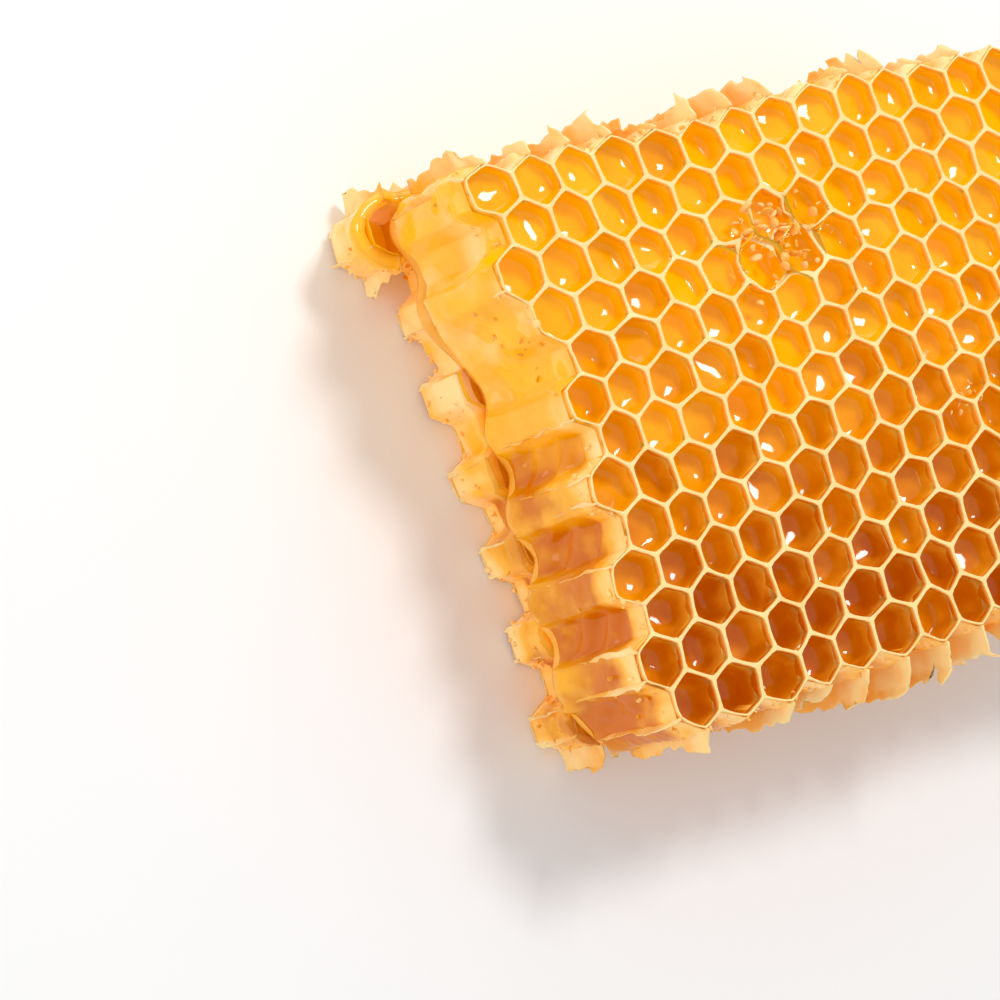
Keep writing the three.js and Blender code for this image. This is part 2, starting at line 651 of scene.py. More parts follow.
COMB = CombFinish(
    name="comb wax finish",
    wax=(0.95, 0.69, 0.30),
    soaked=(0.93, 0.43, 0.06),
    light_honey=(0.92, 0.43, 0.0),
    dark_honey=(0.56, 0.12, 0.0),
    dry_roughness=Coat.DRY.value,
    wet_roughness=Coat.DAMP.value,
    glow=0.3,
    glow_reach=0.7 * MM,
    painted_glow=0.10,
    relief=0.05 * MM,
)
HONEY = CombFinish(
    name="clear honey finish",
    wax=(0.95, 0.65, 0.27),
    soaked=(0.93, 0.44, 0.04),
    light_honey=(0.93, 0.46, 0.0),
    dark_honey=(0.57, 0.135, 0.0),
    dry_roughness=Coat.DAMP.value,
    wet_roughness=Coat.WET.value,
    glow=0.15,
    glow_reach=0.4 * MM,
    painted_glow=0.22,
    relief=0.004 * MM,
    fine_scale=500.0,
)


# ---------------------------------------------------------------- the comb's pieces

FACE_HEIGHT = 62.0  # along Y, over which honey has run down from the first cells to the last and the painted shade deepens


def down_the_face(y: np.ndarray) -> np.ndarray:
    """How far down the face each height along Y is, from 0 to 1."""
    return np.clip(0.5 - y / FACE_HEIGHT, 0, 1)


@dataclass
class CellBook:
    """What differs from cell to cell: the honey's level and shade, and where the comb was crushed."""

    seed: int = 7
    full_drop: float = 2.3  # from the mouth to the honey in the fullest cells
    low_drop: float = 5.0  # and in the emptiest
    crushed_at: tuple[float, float] = (-1.3, 15.1)  # middle of the crushed patch
    crushed_size: tuple[float, float] = (8.0, 5.0)

    def crush(self, points: np.ndarray) -> np.ndarray:
        """How crushed the comb is, from 0 to 1, at places given as rows of x, y and more."""
        away = (points[:, :2] - np.array(self.crushed_at)) / np.array(self.crushed_size)
        return np.exp(-2.0 * (away**2).sum(axis=1) ** 1.5)

    def fill(self, mesh: bpy.types.Mesh, centres: np.ndarray) -> None:
        """Writes each cell's numbers on the lattice mesh's faces.

        Args:
            mesh: The lattice mesh, one face a cell.
            centres: The cells' middles in millimetres.
        """
        draw = np.random.default_rng(self.seed)
        down = down_the_face(centres[:, 1])
        drop = self.full_drop + (self.low_drop - self.full_drop) * down**1.6
        drop *= draw.uniform(0.75, 1.25, len(centres))
        give_attribute(mesh, "drop", drop * MM, "FACE")
        # painted shade: the honey darkens down the face, standing in for light through the upper cells and
        # shadow over the lower ones; the random part is each cell's own tone
        shade = 0.05 + 0.85 * ease(down, 0.2, 0.95) + draw.normal(0, 0.1, len(centres))
        give_attribute(mesh, "amber_and_shade", np.clip(shade, 0, 1), "FACE")
        give_attribute(mesh, "lean_x", draw.normal(0.05, 0.11, len(centres)), "FACE")
        give_attribute(mesh, "lean_y", draw.normal(-0.08, 0.11, len(centres)), "FACE")


@dataclass
class CombLayer:
    """One layer's wax net and the honey in its cells."""

    layer: Layer
    offset: np.ndarray  # from the lattice's own origin to the frame's
    book: CellBook
    lip: float = 0.34  # thickness of a wall at its mouth
    thin: float = 0.06  # how much wider a cell is under its lip
    lip_ends: tuple[float, float] = (0.2, 1.4)  # the depths between which a wall thins
    top_rows: tuple[float, float] = (1.65, 0.35)  # heights of the walls' two uppermost rows of faces
    crease: float = 0.5  # how much of their sharpness edges keep
    sunk_root: float = 0.3  # how far the walls reach into the midrib
    honey_lens: float = 1.6

    def lattice_mesh(self) -> bpy.types.Mesh:
        """The layer's cells as flat faces, with each cell's numbers on them.

        Returns:
            The mesh, at height 0 and facing up.
        """
        flat, faces = LATTICE.cells(self.layer)
        flat = flat + self.offset
        points = np.column_stack([flat, np.zeros(len(flat))])
        mesh = mesh_from(self.layer.name + "-lattice", points, faces)
        middles = np.array([points[face].mean(axis=0) for face in faces])
        self.book.fill(mesh, middles)
        return mesh

    def placed(self, piece: bpy.types.Object) -> bpy.types.Object:
        """Moves a piece made round height 0 to the layer's mouths.

        Args:
            piece: The piece, made with its mouths up.

        Returns:
            The same piece, turned over if the layer opens downwards.
        """
        if self.layer.opens < 0:
            piece.data.transform(Matrix.Diagonal((1, 1, -1, 1)))
            piece.data.flip_normals()
        piece.data.transform(Matrix.Translation((0, 0, self.layer.mouth * MM)))
        return piece

    def net(self) -> bpy.types.Object:
        """The wax walls: from the lattice, each wall gets its thickness, its lip and its depth.

        Returns:
            The net as one piece.
        """
        maker, given = geometry_tree(
            "wax net",
            {
                "Lip": ("NodeSocketFloat", self.lip * MM),
                "Thinning": ("NodeSocketFloat", self.thin),
                "Depth": ("NodeSocketFloat", 10.0 * MM),
                "Waviness": ("NodeSocketFloat", 0.32 * MM),
                "Half Pitch": ("NodeSocketFloat", LATTICE.pitch / 2 * MM),
            },
        )
        place = maker.node("GeometryNodeInputPosition")
        inset = self.inset_cells(maker, place, given.outputs["Geometry"])
        half_lip = maker.maths("MULTIPLY", given.outputs["Lip"], 0.5)
        share = maker.maths("DIVIDE", half_lip, given.outputs["Half Pitch"])
        shrink = maker.maths("SUBTRACT", 1.0, share)
        shrunk = maker.node(
            "GeometryNodeScaleElements",
            {"Geometry": inset.outputs["Mesh"], "Selection": inset.outputs["Top"], "Scale": shrink},
            domain="FACE",
        )
        holed = maker.node(
            "GeometryNodeStoreNamedAttribute",
            {"Geometry": shrunk, "Name": "hole", "Value": inset.outputs["Top"]},
            data_type="BOOLEAN",
            domain="POINT",
        )
        open_net = maker.node(
            "GeometryNodeDeleteGeometry",
            {"Geometry": holed, "Selection": inset.outputs["Top"]},
            domain="FACE",
        )
        fall = maker.maths("MULTIPLY", given.outputs["Depth"], -1.0)
        down = maker.node("ShaderNodeCombineXYZ", {"Z": fall})
        sunk = maker.node("GeometryNodeSetPosition", {"Geometry": open_net, "Offset": down})
        body, upper = sunk, True
        up = maker.node("ShaderNodeCombineXYZ", {"Z": 1.0})
        low_lift = maker.maths("SUBTRACT", given.outputs["Depth"], sum(self.top_rows) * MM)
        for lift in (low_lift, *(height * MM for height in self.top_rows)):
            risen = maker.node(
                "GeometryNodeExtrudeMesh",
                {"Mesh": body, "Selection": upper, "Offset": up, "Offset Scale": lift, "Individual": False},
            )
            body, upper = risen.outputs["Mesh"], risen.outputs["Top"]
        floor = maker.node("GeometryNodeFlipFaces", {0: sunk})
        joined = maker.node("GeometryNodeJoinGeometry", {0: body})
        self.link_more(maker, joined, floor)
        closed = maker.node("GeometryNodeMergeByDistance", {"Geometry": joined, "Distance": 0.001 * MM})
        height = maker.node("ShaderNodeSeparateXYZ", {0: place}).outputs["Z"]
        lip_top, lip_foot = self.lip_ends
        under = maker.spread(height, -lip_foot * MM, -lip_top * MM, (1.0, 0.0))
        hole = maker.node("GeometryNodeInputNamedAttribute", {"Name": "hole"}, data_type="BOOLEAN")
        cell = maker.node("GeometryNodeInputNamedAttribute", {"Name": "cell"}, data_type="FLOAT_VECTOR")
        spoke = maker.vector("MULTIPLY", maker.vector("SUBTRACT", place, cell), (1, 1, 0))
        widen = maker.scaled(spoke, maker.maths("MULTIPLY", under, given.outputs["Thinning"]))
        thinned = maker.node(
            "GeometryNodeSetPosition", {"Geometry": closed, "Selection": hole, "Offset": widen}
        )
        depth = maker.node(
            "GeometryNodeStoreNamedAttribute",
            {"Geometry": thinned, "Name": "depth", "Value": height},
            data_type="FLOAT",
            domain="POINT",
        )
        split = maker.node("GeometryNodeSubdivideMesh", {0: depth, "Level": 1})
        round_net = maker.node(
            "GeometryNodeSubdivisionSurface", {0: split, "Level": 1, "Edge Crease": self.crease}
        )
        wave = maker.node("ShaderNodeTexNoise", {"Vector": place, "Scale": 420.0, "Detail": 2.0})
        shake = maker.vector("SUBTRACT", wave.outputs["Color"], (0.5, 0.5, 0.5))
        shaken = maker.scaled(shake, given.outputs["Waviness"])
        both = maker.vector("ADD", shaken, self.drift(maker, place))
        wavy = maker.node("GeometryNodeSetPosition", {"Geometry": round_net, "Offset": both})
        tree = close_tree(maker, wavy, COMB.material())
        reach = abs(self.layer.mouth - self.layer.root) + self.sunk_root
        sizes = {"Lip": self.lip * MM, "Depth": reach * MM}
        piece = grown(self.layer.name + "-wax-net", self.lattice_mesh(), tree, sizes)
        self.soak_net(piece.data)
        self.crush(piece.data)
        return self.placed(piece)

    @staticmethod
    def inset_cells(maker: TreeMaker, place: bpy.types.Node, geometry: object) -> bpy.types.Node:
        """Gives each cell a second face on its own and notes the cell's middle on its faces.

        Args:
            maker: The tree's maker.
            place: Its Position node.
            geometry: The cells.

        Returns:
            The extruding node, whose Top output selects the second faces.
        """
        marked = maker.node(
            "GeometryNodeStoreNamedAttribute",
            {"Geometry": geometry, "Name": "cell", "Value": place},
            data_type="FLOAT_VECTOR",
            domain="FACE",
        )
        return maker.node(
            "GeometryNodeExtrudeMesh", {"Mesh": marked, "Offset Scale": 0.0, "Individual": True}
        )

    def crush(self, mesh: bpy.types.Mesh) -> None:
        """Bends and lowers the walls where the comb was crushed.

        Args:
            mesh: The net's mesh, with its mouths round height 0.
        """
        points = np.zeros(3 * len(mesh.vertices), dtype=np.float32)
        mesh.vertices.foreach_get("co", points)
        points = points.reshape(-1, 3) / MM
        amount = self.book.crush(points) * (1 - ease(-points[:, 2], 0.5, 5.0))
        for axis, (strength, seed) in enumerate(((2.3, 71), (2.3, 72), (1.3, 73))):
            points[:, axis] += strength * amount * Clouds(seed).at(points, 2.1)
        points[:, 2] -= 1.2 * amount
        mesh.vertices.foreach_set("co", (points * MM).ravel())

    @staticmethod
    def drift(maker: TreeMaker, place: bpy.types.Node) -> bpy.types.Node:
        """The slow rise and fall of the whole face, alike for wax and honey.

        Args:
            maker: The tree's maker.
            place: Its Position node.

        Returns:
            A node that gives the offset.
        """
        flat = maker.vector("MULTIPLY", place, (1, 1, 0))
        slow = maker.node("ShaderNodeTexNoise", {"Vector": flat, "Scale": 75.0, "Detail": 1.0})
        rise = maker.maths("MULTIPLY", maker.maths("SUBTRACT", slow.outputs[0], 0.62), 2.2 * MM)
        return maker.node("ShaderNodeCombineXYZ", {"Z": rise})

    @staticmethod
    def link_more(maker: TreeMaker, joined: bpy.types.Node, more: bpy.types.Node) -> None:
        """Joins one more geometry to a Join Geometry node."""
        maker.tree.links.new(more.outputs[0], joined.inputs[0])

    def soak_net(self, mesh: bpy.types.Mesh) -> None:
        """Writes how soaked the wax is: dry at its lip, and more with depth.

        Args:
            mesh: The net's mesh, whose attribute "depth" it takes away.
        """
        depth = np.zeros(len(mesh.vertices), dtype=np.float32)
        mesh.attributes["depth"].data.foreach_get("value", depth)
        below = -depth / MM
        soak = np.interp(below, [0.0, 0.15, 0.45, 1.0], [0.0, 0.2, 0.75, 1.0])
        mesh.attributes.remove(mesh.attributes["depth"])
        give_attribute(mesh, "soak", soak)

    def honey(self) -> bpy.types.Object:
        """The honey: in each cell a bowl that climbs the walls nearly to the lip and leans a little.

        Returns:
            All the layer's honey as one piece.
        """
        maker, given = geometry_tree(
            "cell honey",
            {
                "Bowl": ("NodeSocketFloat", 0.84),
                "Edge Drop": ("NodeSocketFloat", 0.30 * MM),
                "Hollow": ("NodeSocketFloat", 0.55 * MM),
                "Lens": ("NodeSocketFloat", self.honey_lens * MM),
            },
        )
        place = maker.node("GeometryNodeInputPosition")
        apart = maker.node("GeometryNodeSplitEdges", {0: given.outputs["Geometry"]})
        ring = self.inset_cells(maker, place, apart)
        top = ring.outputs["Top"]
        inner = maker.node(
            "GeometryNodeScaleElements",
            {"Geometry": ring.outputs["Mesh"], "Selection": top, "Scale": given.outputs["Bowl"]},
            domain="FACE",
        )
        rim = maker.node("GeometryNodeSwitch", {"Switch": top, "False": 1.0, "True": 0.0}, input_type="FLOAT")
        edge = maker.node(
            "GeometryNodeStoreNamedAttribute",
            {"Geometry": inner, "Name": "edge", "Value": rim},
            data_type="FLOAT",
            domain="POINT",
        )
        halved = maker.node("GeometryNodeSubdivideMesh", {0: edge, "Level": 1})
        disc = maker.node("GeometryNodeSubdivisionSurface", {0: halved, "Level": 1})
        near = self.attribute(maker, "edge")
        cell = self.attribute(maker, "cell", "FLOAT_VECTOR")
        spoke = maker.vector("SUBTRACT", place, cell)
        lean_x, lean_y = self.attribute(maker, "lean_x"), self.attribute(maker, "lean_y")
        slope = maker.node("ShaderNodeCombineXYZ", {"X": lean_x, "Y": lean_y})
        lean = maker.vector("DOT_PRODUCT", spoke, slope).outputs["Value"]
        reach = maker.vector("LENGTH", spoke).outputs["Value"]
        share = maker.maths("DIVIDE", reach, LATTICE.pitch / 2 * MM)
        dish = maker.maths("MULTIPLY", maker.maths("POWER", share, 2.0), given.outputs["Hollow"])
        ripple = maker.node("ShaderNodeTexNoise", {"Vector": place, "Scale": 260.0, "Detail": 1.0})
        uneven = maker.maths("MULTIPLY", maker.maths("SUBTRACT", ripple.outputs[0], 0.5), 0.9 * MM)
        pool = maker.maths("ADD", maker.maths("ADD", lean, uneven), dish)
        pool = maker.maths("SUBTRACT", pool, self.attribute(maker, "drop"))
        climb = maker.maths("POWER", near, 2.0)
        rest = maker.maths("SUBTRACT", 1.0, climb)
        brim = maker.maths("MULTIPLY", climb, maker.maths("MULTIPLY", given.outputs["Edge Drop"], -1.0))
        level = maker.maths("MULTIPLY_ADD", pool, rest, brim)
        lift = maker.node("ShaderNodeCombineXYZ", {"Z": level})
        rise = maker.vector("ADD", lift, self.drift(maker, place))
        shaped = maker.node("GeometryNodeSetPosition", {"Geometry": disc, "Offset": rise})
        inward = maker.maths("MULTIPLY", maker.maths("SUBTRACT", 1.0, near), given.outputs["Lens"])
        under = maker.node("ShaderNodeCombineXYZ", {"Z": maker.maths("MULTIPLY", inward, -1.0)})
        turned = maker.node("GeometryNodeFlipFaces", {0: shaped})
        belly = maker.node("GeometryNodeSetPosition", {"Geometry": turned, "Offset": under})
        joined = maker.node("GeometryNodeJoinGeometry", {0: shaped})
        self.link_more(maker, joined, belly)
        closed = maker.node("GeometryNodeMergeByDistance", {"Geometry": joined, "Distance": 0.002 * MM})
        tree = close_tree(maker, closed, HONEY.material())
        sizes = {"Lens": self.honey_lens * MM}
        piece = grown(self.layer.name + "-honey", self.lattice_mesh(), tree, sizes)
        edge_values = np.zeros(len(piece.data.vertices), dtype=np.float32)
        piece.data.attributes["edge"].data.foreach_get("value", edge_values)
        give_attribute(piece.data, "soak", 1.0 - 0.25 * edge_values**3)
        return self.placed(piece)

    @staticmethod
    def attribute(maker: TreeMaker, name: str, kind: str = "FLOAT") -> bpy.types.NodeSocket:
        """Reads a named attribute in a Geometry Nodes tree."""
        node = maker.node("GeometryNodeInputNamedAttribute", {"Name": name}, data_type=kind)
        return next(s for s in node.outputs if s.enabled)

    def make(self) -> list[bpy.types.Object]:
        """Builds the layer's pieces."""
        return [self.net(), self.honey()]


@dataclass
class CutSides:
    """A layer's cut sides: torn cells and whole ones in turn, with honey lying in the troughs between."""

    layer: Layer
    offset: np.ndarray
    seed: int
    step: float = 0.27
    softness: float = 2.3
    thickness: float = 1.6
    brim: float = 1.15  # how far out a trough that is full to the brim reaches
    paleness: float = 0.0  # how much less soaked the wax is than in the upper layer
    sunk_top: float = 0.8  # its upper edge lies this far under the mouths
    wave_length: float = 5.0  # of the honey in the troughs

    def __post_init__(self) -> None:
        """Walks round the layer and spreads the grid that its sides are made on."""
        flat, faces = LATTICE.cells(self.layer)
        self.ring = Ring.of(flat[LATTICE.outline(faces)] + self.offset, self.step, self.softness)
        self.reach = abs(self.layer.mouth - self.layer.root)
        levels = int(round(self.reach / self.step))
        self.depth = np.linspace(self.sunk_top, self.reach, levels)[:, None]
        self.places = np.column_stack([
            np.tile(self.ring.smooth, (levels, 1)), -np.repeat(self.depth[:, 0], len(self.ring.crisp)),
        ])
        self.convex = ((self.ring.crisp - self.ring.smooth) * self.ring.normal).sum(axis=1)
        left = np.clip(-self.ring.normal[:, 0], 0, 1)
        self.smear = left * ease(self.ring.smooth[:, 1], -3, 9)
        self.patch = self.cloud(0, (5.0, 5.0, 6.0))
        self.fold = self.cloud(1, (2.6, 2.6, 4.5))
        start = 3.0 + 1.0 * self.patch
        self.hollow = ease(-self.convex, -0.2, 1.0)
        self.pool = self.hollow * ease(self.depth - start, 0.0, 1.6) * (1 - self.smear)
        self.near_root = ease(self.depth, self.reach - 3.6, self.reach)

    def cloud(self, number: int, scale: float | tuple[float, float, float]) -> np.ndarray:
        """Noise on the sides' grid."""
        return Clouds(self.seed + number).at(self.places, scale).reshape(len(self.depth), -1)

    def waves(self) -> np.ndarray:
        """The honey's slow waves down the troughs, from -1 to 1."""
        turns = 2 * math.pi * (self.depth + 1.3 * self.patch) / self.wave_length
        return np.sin(turns + self.ring.smooth[:, 1])

    def height(self) -> np.ndarray:
        """How far each grid point stands out from the whole cells' outline.

        Returns:
            Millimetres, one row for each level.
        """
        # how full the hollows between the cells are: more with depth, brim-full at the root
        fill = 0.02 + 0.16 * ease(self.depth, 2, 9) + 0.08 * self.patch * ease(self.depth, 2, 5)
        fill = fill + self.pool * (0.10 + 0.40 * ease(self.depth, 4, self.reach))
        fill = fill * (1 - self.smear) + self.smear * (0.46 + 0.36 * self.patch)
        fill = fill + (1 - fill) * self.near_root
        out = (self.brim - self.convex) * np.clip(fill, 0.0, 1.0)
        out += 0.55 * self.pool * self.waves() * (1 - self.near_root)
        # stumps of the spoiled cells' walls stand out as ribs, and smeared wax lies in folds
        rib = np.exp(-(((self.convex - 0.35) / 0.35) ** 2)) * (1 - self.smear)
        out += rib * (0.55 + 0.6 * self.fold) * ease(self.depth, 0.8, 2.2)
        out += self.smear * (1.2 * self.fold + 0.5 * self.patch + 0.25)
        # honey and smearing hide the wax's roughness
        rough = 0.22 * self.cloud(2, (1.1, 1.1, 8.0)) + 0.12 * self.cloud(3, 0.8)
        out += rough * (1 - 0.9 * self.pool) * (1 - 0.7 * self.smear)
        from_top = ease(self.depth, self.sunk_top, self.sunk_top + 1.8)
        return np.maximum(out, 0.06) * from_top + 0.14

    def colouring(self) -> tuple[np.ndarray, np.ndarray]:
        """How soaked and how dark the sides are.

        Returns:
            The values of "soak" and of "amber", one row for each level.
        """
        low = down_the_face(self.ring.smooth[:, 1])
        streak = self.cloud(4, (1.0, 1.0, 7.0))
        wet = 0.12 + 0.66 * ease(self.depth, 1.5, 6.0) + 0.2 * self.patch + 0.2 * streak
        smeared = 0.56 + 0.34 * self.patch + 0.34 * self.fold
        pale = self.paleness * ease(self.ring.smooth[:, 1], -8, 8)
        wet = wet * (1 - self.smear) + smeared * self.smear - pale
        # painted reflection: the honey in the troughs is paler along its wave crests, standing in for the
        # lamps' reflections
        painted_reflection = ease(self.waves(), 0.2, 0.8) * self.pool * ease(-self.convex, 0.5, 1.1)
        # painted shade: further down the face the sides are painted wetter and darker, as the cells are; the
        # deeper honey in the troughs and random patches darken them too
        wet = wet + 0.16 * low + self.pool - 0.78 * painted_reflection
        dark = 0.15 + 0.55 * low + 0.5 * self.pool * (0.4 + low) + 0.3 * self.patch - 0.3 * self.fold
        dark = dark * (1 - 0.8 * self.smear) * (1 - 1.5 * pale)
        return np.clip(wet, 0.03, 1), np.clip(dark, 0, 1)

    def make(self) -> bpy.types.Object:
        """Builds the sides as one closed wall.

        Returns:
            The piece.
        """
        ring, around = self.ring, len(self.ring.crisp)
        outer = ring.crisp + ring.normal * self.height()[:, :, None]
        level = self.layer.mouth - self.layer.opens * self.depth
        rows = [np.column_stack([flat, np.full(around, z)]) for flat, z in zip(outer, level[:, 0])]
        wet, dark = self.colouring()
        last = len(rows) - 1
        order = list(range(len(rows)))
        for row, inset in ((last, self.thickness), (last // 3, 0.5 * self.thickness), (0, 0.12)):
            inner = rows[row].copy()
            inner[:, :2] -= ring.normal * inset
            rows.append(inner)
            order.append(row)
        faces = tube_faces(around, len(rows) + 1) % (around * len(rows))
        if self.layer.opens > 0:
            faces = faces[:, ::-1]
        mesh = mesh_from(self.layer.name + "-cut-sides", np.vstack(rows), faces)
        give_attribute(mesh, "soak", wet[order])
        give_attribute(mesh, "amber_and_shade", dark[order])
        mesh.materials.append(HONEY.material())
        return fresh_object(self.layer.name + "-cut-sides", mesh)


@dataclass
class TornWalls:
    """What is left of the walls of the cells that the knife spoiled: torn sheets round the whole cells."""

    sides: CutSides
    seed: int
    thickness: float = 0.26
    steps: int = 12  # points along a sheet
    levels: int = 22  # points down it

    def paths(self) -> list[np.ndarray]:
        """Each torn wall's course: out from a corner of a whole cell, then round the spoiled cell.

        Returns:
            For each wall its three points, as rows of x and y.
        """
        layer = self.sides.layer
        whole, _ = LATTICE.cells(layer)
        points, faces = LATTICE.cells(layer, spoiled=True)
        links: dict[int, set[int]] = {}
        for face in faces:
            for a, b in zip(face, face[1:] + face[:1]):
                links.setdefault(a, set()).add(b)
                links.setdefault(b, set()).add(a)
        courses = []
        for start in range(len(whole)):
            for second in sorted(links[start]):
                if second < len(whole):
                    continue
                further = sorted(n for n in links[second] if n >= len(whole))
                turn = further[self.draw.integers(len(further))] if further else second
                courses.append(points[[start, second, turn]] + self.sides.offset)
        return courses

    def reach(self, start: np.ndarray) -> tuple[float, float]:
        """How much of a wall the knife left.

        Args:
            start: Where the wall starts, on a whole cell's corner.

        Returns:
            How far it stands out, and how far down its top is torn at its end.
        """
        ring = self.sides.ring
        normal = ring.normal[np.linalg.norm(ring.smooth - start, axis=1).argmin()]
        left, right = max(-normal[0], 0.0) ** 2, max(normal[0], 0.0) ** 2
        top, bottom = max(normal[1], 0.0) ** 2, max(-normal[1], 0.0) ** 2
        length = 0.4 * left + 0.8 * right + 2.6 * top + 3.2 * bottom
        torn = 0.8 * left + 1.0 * right + 1.7 * top + 1.6 * bottom
        return length * self.draw.uniform(0.45, 1.35), torn * self.draw.uniform(0.4, 1.8)

    def sheet(self, course: np.ndarray) -> tuple[np.ndarray, np.ndarray, np.ndarray]:
        """One torn wall as a closed sheet.

        Args:
            course: Its three points.

        Returns:
            The sheet's points, its quads and how soaked each point is.
        """
        length, torn = self.reach(course[0])
        along = np.concatenate([[0], np.cumsum(np.linalg.norm(np.diff(course, axis=0), axis=1))])
        part = np.linspace(0, 1, self.steps)
        deep = self.sides.reach
        rows, soak = [], []
        curl = self.draw.normal(0, 0.5)
        for down in np.linspace(0, 1, self.levels) ** 1.4:
            probe = np.array([[*course[0], -down * deep]])
            ragged = self.rough.at(probe, 1.3)[0] * 0.5 + self.rough.at(probe, 3.7)[0] * 0.5
            far = min(length * (1 + 0.9 * ragged) * (1 - 0.3 * down), along[-1])
            at = part * max(far, 0.15)
            flat = np.stack([np.interp(at, along, course[:, axis]) for axis in (0, 1)], axis=1)
            ahead = np.stack([np.interp(at + 0.3, along, course[:, axis]) for axis in (0, 1)], axis=1)
            behind = np.stack([np.interp(at - 0.3, along, course[:, axis]) for axis in (0, 1)], axis=1)
            heading = ahead - behind
            heading /= np.linalg.norm(heading, axis=1)[:, None] + 1e-9
            side = np.stack([-heading[:, 1], heading[:, 0]], axis=1)
            where = np.column_stack([flat, np.full(self.steps, -down * deep)])
            bend = curl * part**2 * (1 - down) + 0.3 * self.rough.at(where, 2.2) * part
            flat = flat + side * bend[:, None]
            half = 0.5 * self.thickness * (1 - 0.6 * part**2)
            nibble = 0.9 * np.abs(self.rough.at(where, 0.8)) * part
            depth = (torn * part**1.3 + nibble) * (1 - down) + down * deep + 0.08
            height = self.sides.layer.mouth - self.sides.layer.opens * depth
            one = np.column_stack([flat + side * half[:, None], height])
            other = np.column_stack([flat - side * half[:, None], height])
            rows.append(np.vstack([one, other[::-1]]))
            wet = 0.05 + 0.45 * ease(down * deep, 1.0, 9.0) + 0.2 * self.rough.at(where, 2.0)
            soak.append(np.concatenate([wet, wet[::-1]]))
        around = 2 * self.steps
        quads = tube_faces(around, self.levels).tolist()
        last = around * (self.levels - 1)
        for n in range(self.steps - 1):
            mirror = around - 1 - n
            quads.append([mirror, mirror - 1, n + 1, n])
            quads.append([last + n, last + n + 1, last + mirror - 1, last + mirror])
        faces = np.array(quads)
        if self.sides.layer.opens < 0:
            faces = faces[:, ::-1]
        return np.vstack(rows), faces, np.concatenate(soak)

    def make(self) -> bpy.types.Object:
        """Builds all the torn walls of the layer as one piece.

        Returns:
            The piece.
        """
        self.draw = np.random.default_rng(self.seed)
        self.rough = Clouds(self.seed)
        points, faces, soak, count = [], [], [], 0
        for course in self.paths():
            if self.draw.uniform() < 0.08:
                continue
            sheet_points, sheet_faces, sheet_soak = self.sheet(course)
            points.append(sheet_points)
            faces.append(sheet_faces + count)
            soak.append(sheet_soak)
            count += len(sheet_points)
        name = self.sides.layer.name + "-torn-walls"
        mesh = mesh_from(name, np.vstack(points), np.vstack(faces))
        give_attribute(mesh, "soak", np.clip(np.concatenate(soak), 0, 1))
        give_attribute(mesh, "amber_and_shade", np.full(count, 0.1))
        mesh.materials.append(COMB.material())
        return fresh_object(name, mesh)


@dataclass
class Midrib:
    """The wax sheet between the two layers."""

    layer: Layer
    offset: np.ndarray
    low: float
    high: float
    proud: float = 0.15  # how far its edge stands out
    bulge: float = 0.25  # of its edge, half-way up
    edge_swell: float = 0.1  # how much thicker it is at its edge
    lap: float = 0.5  # how much thicker it is where the cells' roots cover it
    lap_inset: float = 1.5  # how far in that is
    inside: float = 14.0  # from its edge to where it is flat

    def make(self) -> bpy.types.Object:
        """Builds the sheet with a rounded edge.

        Returns:
            The piece.
        """
        flat, faces = LATTICE.cells(self.layer)
        ring = Ring.of(flat[LATTICE.outline(faces)] + self.offset, 0.8, 2.3)
        clouds = Clouds(31)
        around = len(ring.crisp)
        course = ring.smooth + 0.85 * ring.normal
        middle = course.mean(axis=0)
        profile = (
            (self.inside, self.low),
            (self.lap_inset, self.low - self.lap),
            (0.0, self.low - self.edge_swell),
            (-self.bulge, (self.low + self.high) / 2),
            (0.0, self.high + self.edge_swell),
            (self.lap_inset, self.high + self.lap),
            (self.inside, self.high),
        )
        rows = []
        for inset, height in profile:
            flat_rows = np.column_stack([course, np.full(around, height)])
            out = self.proud - inset + 0.25 * clouds.at(flat_rows, 2.0)
            rows.append(np.column_stack([course + ring.normal * out[:, None], np.full(around, height)]))
        points = np.vstack(rows + [np.array([[*middle, self.low], [*middle, self.high]])])
        quads = tube_faces(around, len(rows)).tolist()
        bottom, top = len(points) - 2, len(points) - 1
        last = (len(rows) - 1) * around
        for n in range(around):
            quads.append([(n + 1) % around, n, bottom])
            quads.append([last + n, last + (n + 1) % around, top])
        mesh = mesh_from("midrib-sheet", points, quads)
        give_attribute(mesh, "soak", np.full(len(points), 0.6))
        give_attribute(mesh, "amber_and_shade", np.full(len(points), 0.2))
        mesh.materials.append(COMB.material())
        return fresh_object("midrib-sheet", mesh)


